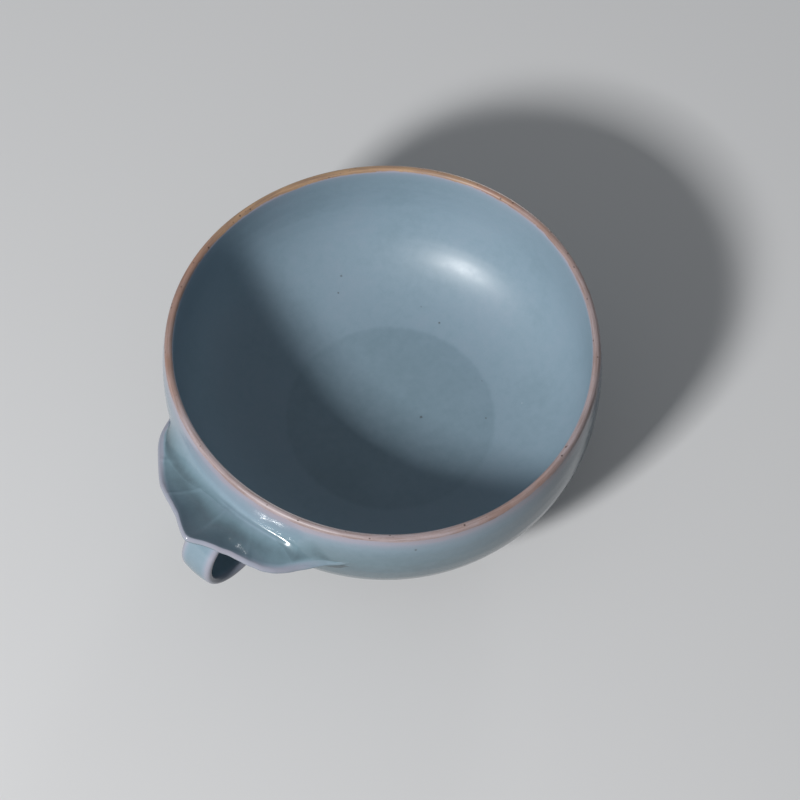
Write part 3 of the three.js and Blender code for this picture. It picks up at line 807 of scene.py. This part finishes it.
def below_plate(points):
    """How far points lie below the thumb plate's underside, measured upright."""
    azimuth = np.degrees(np.arctan2(points[..., 1], points[..., 0]))
    root = wall_at(np.radians(azimuth), root_height(azimuth))
    out = np.hypot(points[..., 0], points[..., 1]) - root
    middle, width = plate_sheet(azimuth, out)
    return middle - plate_thickness(azimuth, out / width) - points[..., 2]


def surface_normal(distance, points):
    """Direction in which a distance grows fastest."""
    step = 0.02
    slope = np.stack([
        distance(points + step * axis) - distance(points - step * axis) for axis in np.eye(3)
    ], axis=-1)
    return slope / np.linalg.norm(slope, axis=-1, keepdims=True)


def finger_strap():
    """The strap's section carried round its circle; its ends run on into plate and wall."""
    section = strap_outline()
    turn = np.linspace(math.radians(RING_LOW_TURN), math.radians(RING_TOP_TURN), STRAP_STEPS)
    points = strap_point(turn[:, None], section[None, :, :])
    half = RING_WIDTH / 2
    edge = smooth_step(half - 2.3, half - 0.6, np.abs(section[:, 1]))
    near = smooth_step(2.4, 0.6, np.minimum(off_wall(points), below_plate(points)))
    thin = STRAP_EDGE_THIN * edge[None, :] * (1 - near) - 0.1 - COLLAR_POOL * near
    return tube_piece("finger_strap", [points], [{"thin": thin}])


def strap_collar(name, distance, low_turn, high_turn):
    """Fillet round an end of the strap, from the strap's side out onto what it meets.

    Each line along the strap is searched for the place where its distance from that surface
    passes nothing. There the fillet's section stands between strap and surface.
    """
    section = strap_outline()
    ends = math.radians(low_turn), math.radians(high_turn)
    turns = np.linspace(*ends, COLLAR_SEARCH_STEPS)[:, None]
    path = strap_point(turns, section[None])
    out = distance(path)
    first = np.argmax(out < 0, axis=0)
    column = np.arange(len(section))
    before, after = out[first - 1, column], out[first, column]
    share = (before / (before - after))[:, None]
    foot = path[first - 1, column] * (1 - share) + path[first, column] * share
    strap_way = path[first - COLLAR_BACK_STEPS, column] - foot
    strap_way /= np.linalg.norm(strap_way, axis=1, keepdims=True)
    normal = surface_normal(distance, foot)
    ahead = np.roll(foot, -1, axis=0) - np.roll(foot, 1, axis=0)
    side = np.cross(ahead, normal)
    side *= np.sign(np.sum(side * (foot - foot.mean(axis=0)), axis=1, keepdims=True))
    side /= np.linalg.norm(side, axis=1, keepdims=True)
    away, off, more_away, more_off = fillet_outline()
    along_face = COLLAR_FILLET * away + more_away
    along_strap = COLLAR_FILLET * off + more_off
    grid = foot[:, None] + side[:, None] * along_face[None, :, None] \
        + strap_way[:, None] * along_strap[None, :, None]
    thin = np.full(grid.shape[:2], -COLLAR_POOL)
    return loop_piece(name, grid, {"thin": thin}, flip=high_turn < low_turn)


# Materials

class Nodes:
    """Short calls for adding and joining shader nodes in one material."""

    def __init__(self, name):
        self.material = bpy.data.materials.new(name)
        self.material.use_nodes = True
        self.tree = self.material.node_tree
        self.tree.nodes.clear()

    def add(self, kind, inputs=None, **settings):
        node = self.tree.nodes.new(kind)
        for key, value in settings.items():
            setattr(node, key, value)
        for key, value in (inputs or {}).items():
            if isinstance(value, bpy.types.NodeSocket):
                self.tree.links.new(value, node.inputs[key])
            else:
                node.inputs[key].default_value = value
        return node

    def shade(self, name):
        return self.add("ShaderNodeAttribute", attribute_name=name).outputs["Fac"]

    def math(self, operation, first, second=0.0):
        return self.add("ShaderNodeMath", {0: first, 1: second}, operation=operation).outputs[0]

    def vector(self, operation, inputs):
        return self.add("ShaderNodeVectorMath", inputs, operation=operation).outputs["Vector"]

    def noise(self, place, scale, detail=3.0, roughness=0.55, output="Fac"):
        node = self.add("ShaderNodeTexNoise", {
            "Vector": place, "Scale": scale, "Detail": detail, "Roughness": roughness})
        return node.outputs[output]

    def mix(self, factor, first, second):
        node = self.add("ShaderNodeMix", data_type="RGBA")
        for socket, value in ((0, factor), (6, first), (7, second)):
            if isinstance(value, bpy.types.NodeSocket):
                self.tree.links.new(value, node.inputs[socket])
            else:
                node.inputs[socket].default_value = value
        return node.outputs[2]

    def ramp(self, factor, stops):
        node = self.add("ShaderNodeValToRGB", {"Fac": factor})
        elements = node.color_ramp.elements
        while len(elements) < len(stops):
            elements.new(0.5)
        for element, (place, colour) in zip(elements, stops):
            element.position = place
            element.color = colour
        return node.outputs["Color"]

    def scale(self, value, low, high, to_low, to_high):
        node = self.add("ShaderNodeMapRange", {
            "Value": value, "From Min": low, "From Max": high,
            "To Min": to_low, "To Max": to_high,
        })
        return node.outputs["Result"]


def srgb(red, green, blue):
    """A colour given as it looks, 0 to 255, turned to linear light."""
    def linear(value):
        value /= 255
        return value / 12.92 if value <= 0.04045 else ((value + 0.055) / 1.055) ** 2.4
    return (linear(red), linear(green), linear(blue), 1)


POOL = srgb(78, 94, 102)
COVE = srgb(111, 135, 146)
GLAZE = srgb(132, 153, 167)
PALE = srgb(145, 158, 173)
THIN = srgb(161, 161, 175)
BLUSH = srgb(164, 155, 164)
CLAY_PINK = srgb(168, 155, 158)
CLAY_RUSSET = srgb(160, 126, 111)
CLAY_TAN = srgb(178, 146, 114)
CLAY_STREAK = srgb(126, 104, 94)
IRON = srgb(66, 52, 46)
SPECK = srgb(78, 84, 84)
FINE_SPECK = srgb(109, 132, 143)
PINHOLE = srgb(178, 190, 198)
GLAZE_RAMP = ((0.05, POOL), (0.3, COVE), (0.5, GLAZE), (0.7, PALE), (0.95, THIN))
CLAY_RAMP = ((0.1, CLAY_PINK), (0.55, CLAY_RUSSET), (0.85, CLAY_TAN))
CLOUD_SCALE = 60.0
PATCH_SCALE = 130.0
MOTTLE_SCALE = 520.0
GRIT_SCALE = 1100.0
RAGGED_SCALE = 1500.0
STREAK_SCALE = 1900.0
STREAK_STRETCH = 0.06  # how slowly streaks change along the lip
FINE_SCALE = 2400.0
GRAIN_SCALE = 2600.0
SPOT_RAGGEDNESS = 0.0005  # metres
SPOT_STRENGTH = 0.8
GRIT_SHARE = 0.93  # grains under this pick stay clay
GLOSS = (0.13, 0.18)  # least and greatest roughness outside
INSIDE_DULL = 0.24  # roughness added to the glaze inside
CLAY_DULL = 0.3
GLAZE_IOR = 1.52
PEEL_DEPTH = 0.0000016  # metres
MOTTLE_PEEL = 1.6
CLAY_PEEL = 6.0


def spot_mask(n, place, spots):
    """1 inside any of the spots, falling to 0 at their rims."""
    mask = None
    for x, y, z, radius in spots:
        centre = tuple(to_metres([(x, y, z)])[0])
        apart = n.add("ShaderNodeVectorMath", {0: place, 1: centre}, operation="DISTANCE")
        inside = n.scale(apart.outputs["Value"], radius * MM, 0.35 * radius * MM, 0, 1)
        mask = inside if mask is None else n.math("MAXIMUM", mask, inside)
    return mask


def glaze_coat(n, place, thin):
    """Glaze colour from its depth: grey-teal where it pools, lavender-white where thin."""
    cloud = n.noise(place, CLOUD_SCALE)
    mottle = n.noise(place, MOTTLE_SCALE, 3.0, 0.6)
    fine = n.noise(place, FINE_SCALE, 2.0, 0.6)
    # The thin values also carry painted shade: under the plate's edge, on the lower outer wall and
    # to the near side of the plate.
    depth = n.math("ADD", thin, n.scale(cloud, 0.3, 0.7, -0.08, 0.08))
    depth = n.math("ADD", depth, n.scale(mottle, 0.3, 0.7, -0.05, 0.05))
    colour = n.ramp(n.scale(depth, -1, 1, 0, 1), GLAZE_RAMP)
    pinkish = n.math("MULTIPLY", n.scale(depth, 0.5, 1.0, 0, 1), n.scale(cloud, 0.42, 0.6, 0, 0.6))
    colour = n.mix(pinkish, colour, BLUSH)
    colour = n.mix(n.scale(fine, 0.45, 0.75, 0.0, 0.10), colour, FINE_SPECK)
    return colour, mottle, fine


def glaze_skin(n, mottle, fine):
    """Roughness of the glaze, and the height of its orange peel."""
    peel = n.math("ADD", n.math("MULTIPLY", mottle, MOTTLE_PEEL), fine)
    return n.scale(mottle, 0.3, 0.7, *GLOSS), peel


def satin(n, colour, rough, height):
    """The shader shared by every finish: satin gloss with a very fine orange-peel bump."""
    bump = n.add("ShaderNodeBump", {"Height": height, "Strength": 1.0, "Distance": PEEL_DEPTH})
    shader = n.add("ShaderNodeBsdfPrincipled", {
        "Base Color": colour, "Roughness": rough, "Normal": bump.outputs["Normal"],
        "IOR": GLAZE_IOR})
    n.add("ShaderNodeOutputMaterial", {"Surface": shader.outputs["BSDF"]})
    return n.material


def added_piece_glaze(name):
    """Glaze of the plate, the ring and their slip seams."""
    n = Nodes(name)
    place = n.add("ShaderNodeTexCoord").outputs["Object"]
    colour, mottle, fine = glaze_coat(n, place, n.shade("thin"))
    return satin(n, colour, *glaze_skin(n, mottle, fine))


def bare_clay(n, place, flash):
    """Fired stoneware without glaze: wiped streaks along the lip, flashed orange to one side.

    The streaks are noise of the radius and the height that hardly changes round the lip.
    """
    parts = n.add("ShaderNodeSeparateXYZ", {"Vector": place})
    x = n.math("SUBTRACT", parts.outputs["X"], AXIS_X * MM)
    y = parts.outputs["Y"]
    radius = n.math("SQRT", n.math("ADD", n.math("MULTIPLY", x, x), n.math("MULTIPLY", y, y)))
    along = n.add("ShaderNodeCombineXYZ", {
        "X": radius, "Y": parts.outputs["Z"], "Z": n.math("MULTIPLY", x, STREAK_STRETCH)})
    streaks = n.add("ShaderNodeTexNoise", {
        "Vector": along.outputs["Vector"], "W": n.math("MULTIPLY", y, STREAK_STRETCH),
        "Scale": STREAK_SCALE, "Detail": 4.0, "Roughness": 0.65}, noise_dimensions="4D")
    grain = n.noise(place, GRAIN_SCALE, 3.0, 0.7)
    patches = n.noise(place, PATCH_SCALE)
    warm = n.math("ADD", flash, n.scale(patches, 0.3, 0.7, -0.15, 0.15))
    colour = n.ramp(warm, CLAY_RAMP)
    colour = n.mix(n.scale(streaks.outputs["Fac"], 0.42, 0.66, 0, 0.75), colour, CLAY_STREAK)
    colour = n.mix(n.scale(grain, 0.55, 0.75, 0, 0.5), colour, CLAY_STREAK)
    grit = n.add("ShaderNodeTexVoronoi", {"Vector": place, "Scale": GRIT_SCALE}, feature="F1")
    pick = n.add("ShaderNodeSeparateColor", {"Color": grit.outputs["Color"]}).outputs[0]
    dot = n.scale(grit.outputs["Distance"], 0.34, 0.12, 0, 1)
    dot = n.math("MULTIPLY", dot, n.math("GREATER_THAN", pick, GRIT_SHARE))
    return n.mix(dot, colour, IRON), grain


def ragged_place(n, place):
    """The place shifted a little by noise, so that spots get uneven rims."""
    ragged = n.noise(place, RAGGED_SCALE, 2.0, 0.6, "Color")
    shift = n.vector("SUBTRACT", {0: ragged, 1: (0.5, 0.5, 0.5)})
    shift = n.vector("SCALE", {0: shift, "Scale": SPOT_RAGGEDNESS})
    return n.vector("ADD", {0: place, 1: shift})


def bowl_finish(name):
    """Glaze over the bowl, bare clay on the lip and the foot ring, and its few specks."""
    n = Nodes(name)
    place = n.add("ShaderNodeTexCoord").outputs["Object"]
    bare = n.shade("bare")
    colour, mottle, fine = glaze_coat(n, place, n.shade("thin"))
    clay, grain = bare_clay(n, place, n.shade("flash"))
    ragged = ragged_place(n, place)
    for spots, spot_colour in ((GLAZE_SPECKS, SPECK), (PINHOLES, PINHOLE)):
        mask = n.math("MULTIPLY", spot_mask(n, ragged, spots), SPOT_STRENGTH)
        colour = n.mix(mask, colour, spot_colour)
    clay = n.mix(spot_mask(n, ragged, LIP_PITS), clay, IRON)

    worn = n.math("ADD", bare, n.scale(mottle, 0.35, 0.65, -0.2, 0.2))
    worn = n.math("ADD", worn, n.scale(fine, 0.35, 0.65, -0.12, 0.12))
    shown = n.scale(worn, 0.35, 0.7, 0, 1)
    colour = n.mix(n.scale(bare, 0.0, 0.45, 0, 0.85), colour, BLUSH)
    colour = n.mix(shown, colour, clay)
    gloss, peel = glaze_skin(n, mottle, fine)
    dull = n.math("MAXIMUM", n.math("MULTIPLY", n.shade("inside"), INSIDE_DULL),
                  n.math("MULTIPLY", shown, CLAY_DULL))
    grit = n.math("MULTIPLY", n.math("MULTIPLY", grain, shown), CLAY_PEEL)
    return satin(n, colour, n.math("ADD", gloss, dull), n.math("ADD", peel, grit))


# Pieces

PIECES = (
    (bowl_body(), "bowl", "bowl_glaze"),
    (leaf_plate(), "thumb_plate", "plate_glaze"),
    (leaf_seam(), "plate_slip_seam", "slip_glaze"),
    (finger_strap(), "finger_ring", "ring_glaze"),
    (strap_collar("strap_upper_collar", below_plate, UPPER_COLLAR_START, RING_TOP_TURN),
     "ring_upper_slip_seam", "slip_glaze"),
    (strap_collar("strap_lower_collar", off_wall, LOWER_COLLAR_START, RING_LOW_TURN),
     "ring_lower_slip_seam", "slip_glaze"),
)
FINISHES = {slot: added_piece_glaze(slot) for slot in ("plate_glaze", "slip_glaze", "ring_glaze")}
FINISHES["bowl_glaze"] = bowl_finish("bowl_glaze")

for piece, node, slot in PIECES:
    piece.data.materials.append(FINISHES[slot])
    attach(piece, "root")
    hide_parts(node)


# Camera, floor and light

CAMERA_PLACE = (250.02, 217.34, 600.75)  # from the bowl's axis on the table, mm
CAMERA_AIM = (8.22, 12.13, CUP_HEIGHT)
CAMERA_ROLL = 2.11  # degrees
CAMERA_LENS = 130.57
SENSOR_WIDTH = 36.0
FLOOR_PAPER = srgb(214, 215, 216)
FLOOR_BOUNCE = srgb(96, 96, 96)
FLOOR_HALF = 3.0  # metres
SKY_COLOUR = (0.93, 0.96, 1.0, 1)
SKY_STRENGTH = 0.18
LAMP_AIM = (0, 0, 25)
LAMP_DISTANCE = 1100  # mm

# Lamps: name, azimuth and elevation in degrees, width in metres, watts, colour
LAMPS = (
    ("key", 3, 35, 0.16, 12.6, (1.0, 0.99, 0.985)),
    ("back", 205, 6, 0.2, 4.0, (0.97, 0.985, 1.0)),
)


def look_at(place, aim, roll):
    """Rotation of something that looks from place to aim, turned by roll degrees."""
    back = np.subtract(place, aim)
    back /= np.linalg.norm(back)
    right = np.cross((0, 0, 1), back)
    right /= np.linalg.norm(right)
    up = np.cross(back, right)
    turn = math.radians(roll)
    turned_right = right * math.cos(turn) + up * math.sin(turn)
    turned_up = np.cross(back, turned_right)
    return np.stack([turned_right, turned_up, back], axis=1)


def place_object(thing, place, aim, roll=0):
    matrix = np.eye(4)
    matrix[:3, :3] = look_at(place, aim, roll)
    matrix[:3, 3] = to_metres([place])[0]
    thing.matrix_world = Matrix(matrix)
    bpy.context.scene.collection.objects.link(thing)


def add_camera():
    lens = bpy.data.cameras.new("view")
    lens.lens = CAMERA_LENS
    lens.sensor_width = SENSOR_WIDTH
    lens.clip_start = 0.01
    camera = bpy.data.objects.new("view", lens)
    place_object(camera, CAMERA_PLACE, CAMERA_AIM, CAMERA_ROLL)
    bpy.context.scene.camera = camera


def soft_lamp(name, azimuth, elevation, width, watts, colour):
    """A square lamp that faces the cup from a direction in degrees."""
    a, e = math.radians(azimuth), math.radians(elevation)
    place = np.array([math.cos(a) * math.cos(e), math.sin(a) * math.cos(e), math.sin(e)])
    data = bpy.data.lights.new(name, "AREA")
    data.size = width
    data.energy = watts
    data.color = colour
    place_object(bpy.data.objects.new(name, data), place * LAMP_DISTANCE + LAMP_AIM, LAMP_AIM)


def floor_paper():
    """Plain pale paper, which throws light on as a dull grey would, so it doesn't lift the cup."""
    n = Nodes("floor_paper")
    ray = n.add("ShaderNodeLightPath").outputs
    seen = n.math("MAXIMUM", ray["Is Camera Ray"], ray["Is Glossy Ray"])
    seen = n.math("MAXIMUM", seen, ray["Is Transmission Ray"])
    colour = n.mix(seen, FLOOR_BOUNCE, FLOOR_PAPER)
    shader = n.add("ShaderNodeBsdfDiffuse", {"Color": colour})
    n.add("ShaderNodeOutputMaterial", {"Surface": shader.outputs["BSDF"]})
    return n.material


def add_floor():
    mesh = bpy.data.meshes.new("floor")
    corners = [(x * FLOOR_HALF, y * FLOOR_HALF, 0) for x, y in ((-1, -1), (1, -1), (1, 1), (-1, 1))]
    mesh.from_pydata(corners, [], [(0, 1, 2, 3)])
    floor = bpy.data.objects.new("floor", mesh)
    bpy.context.scene.collection.objects.link(floor)
    floor.data.materials.append(floor_paper())


def add_world():
    world = bpy.data.worlds.new("studio")
    world.use_nodes = True
    background = world.node_tree.nodes["Background"]
    background.inputs["Color"].default_value = SKY_COLOUR
    background.inputs["Strength"].default_value = SKY_STRENGTH
    bpy.context.scene.world = world


add_camera()
add_floor()
add_world()
for lamp in LAMPS:
    soft_lamp(*lamp)
bpy.context.scene.view_settings.view_transform = "Standard"
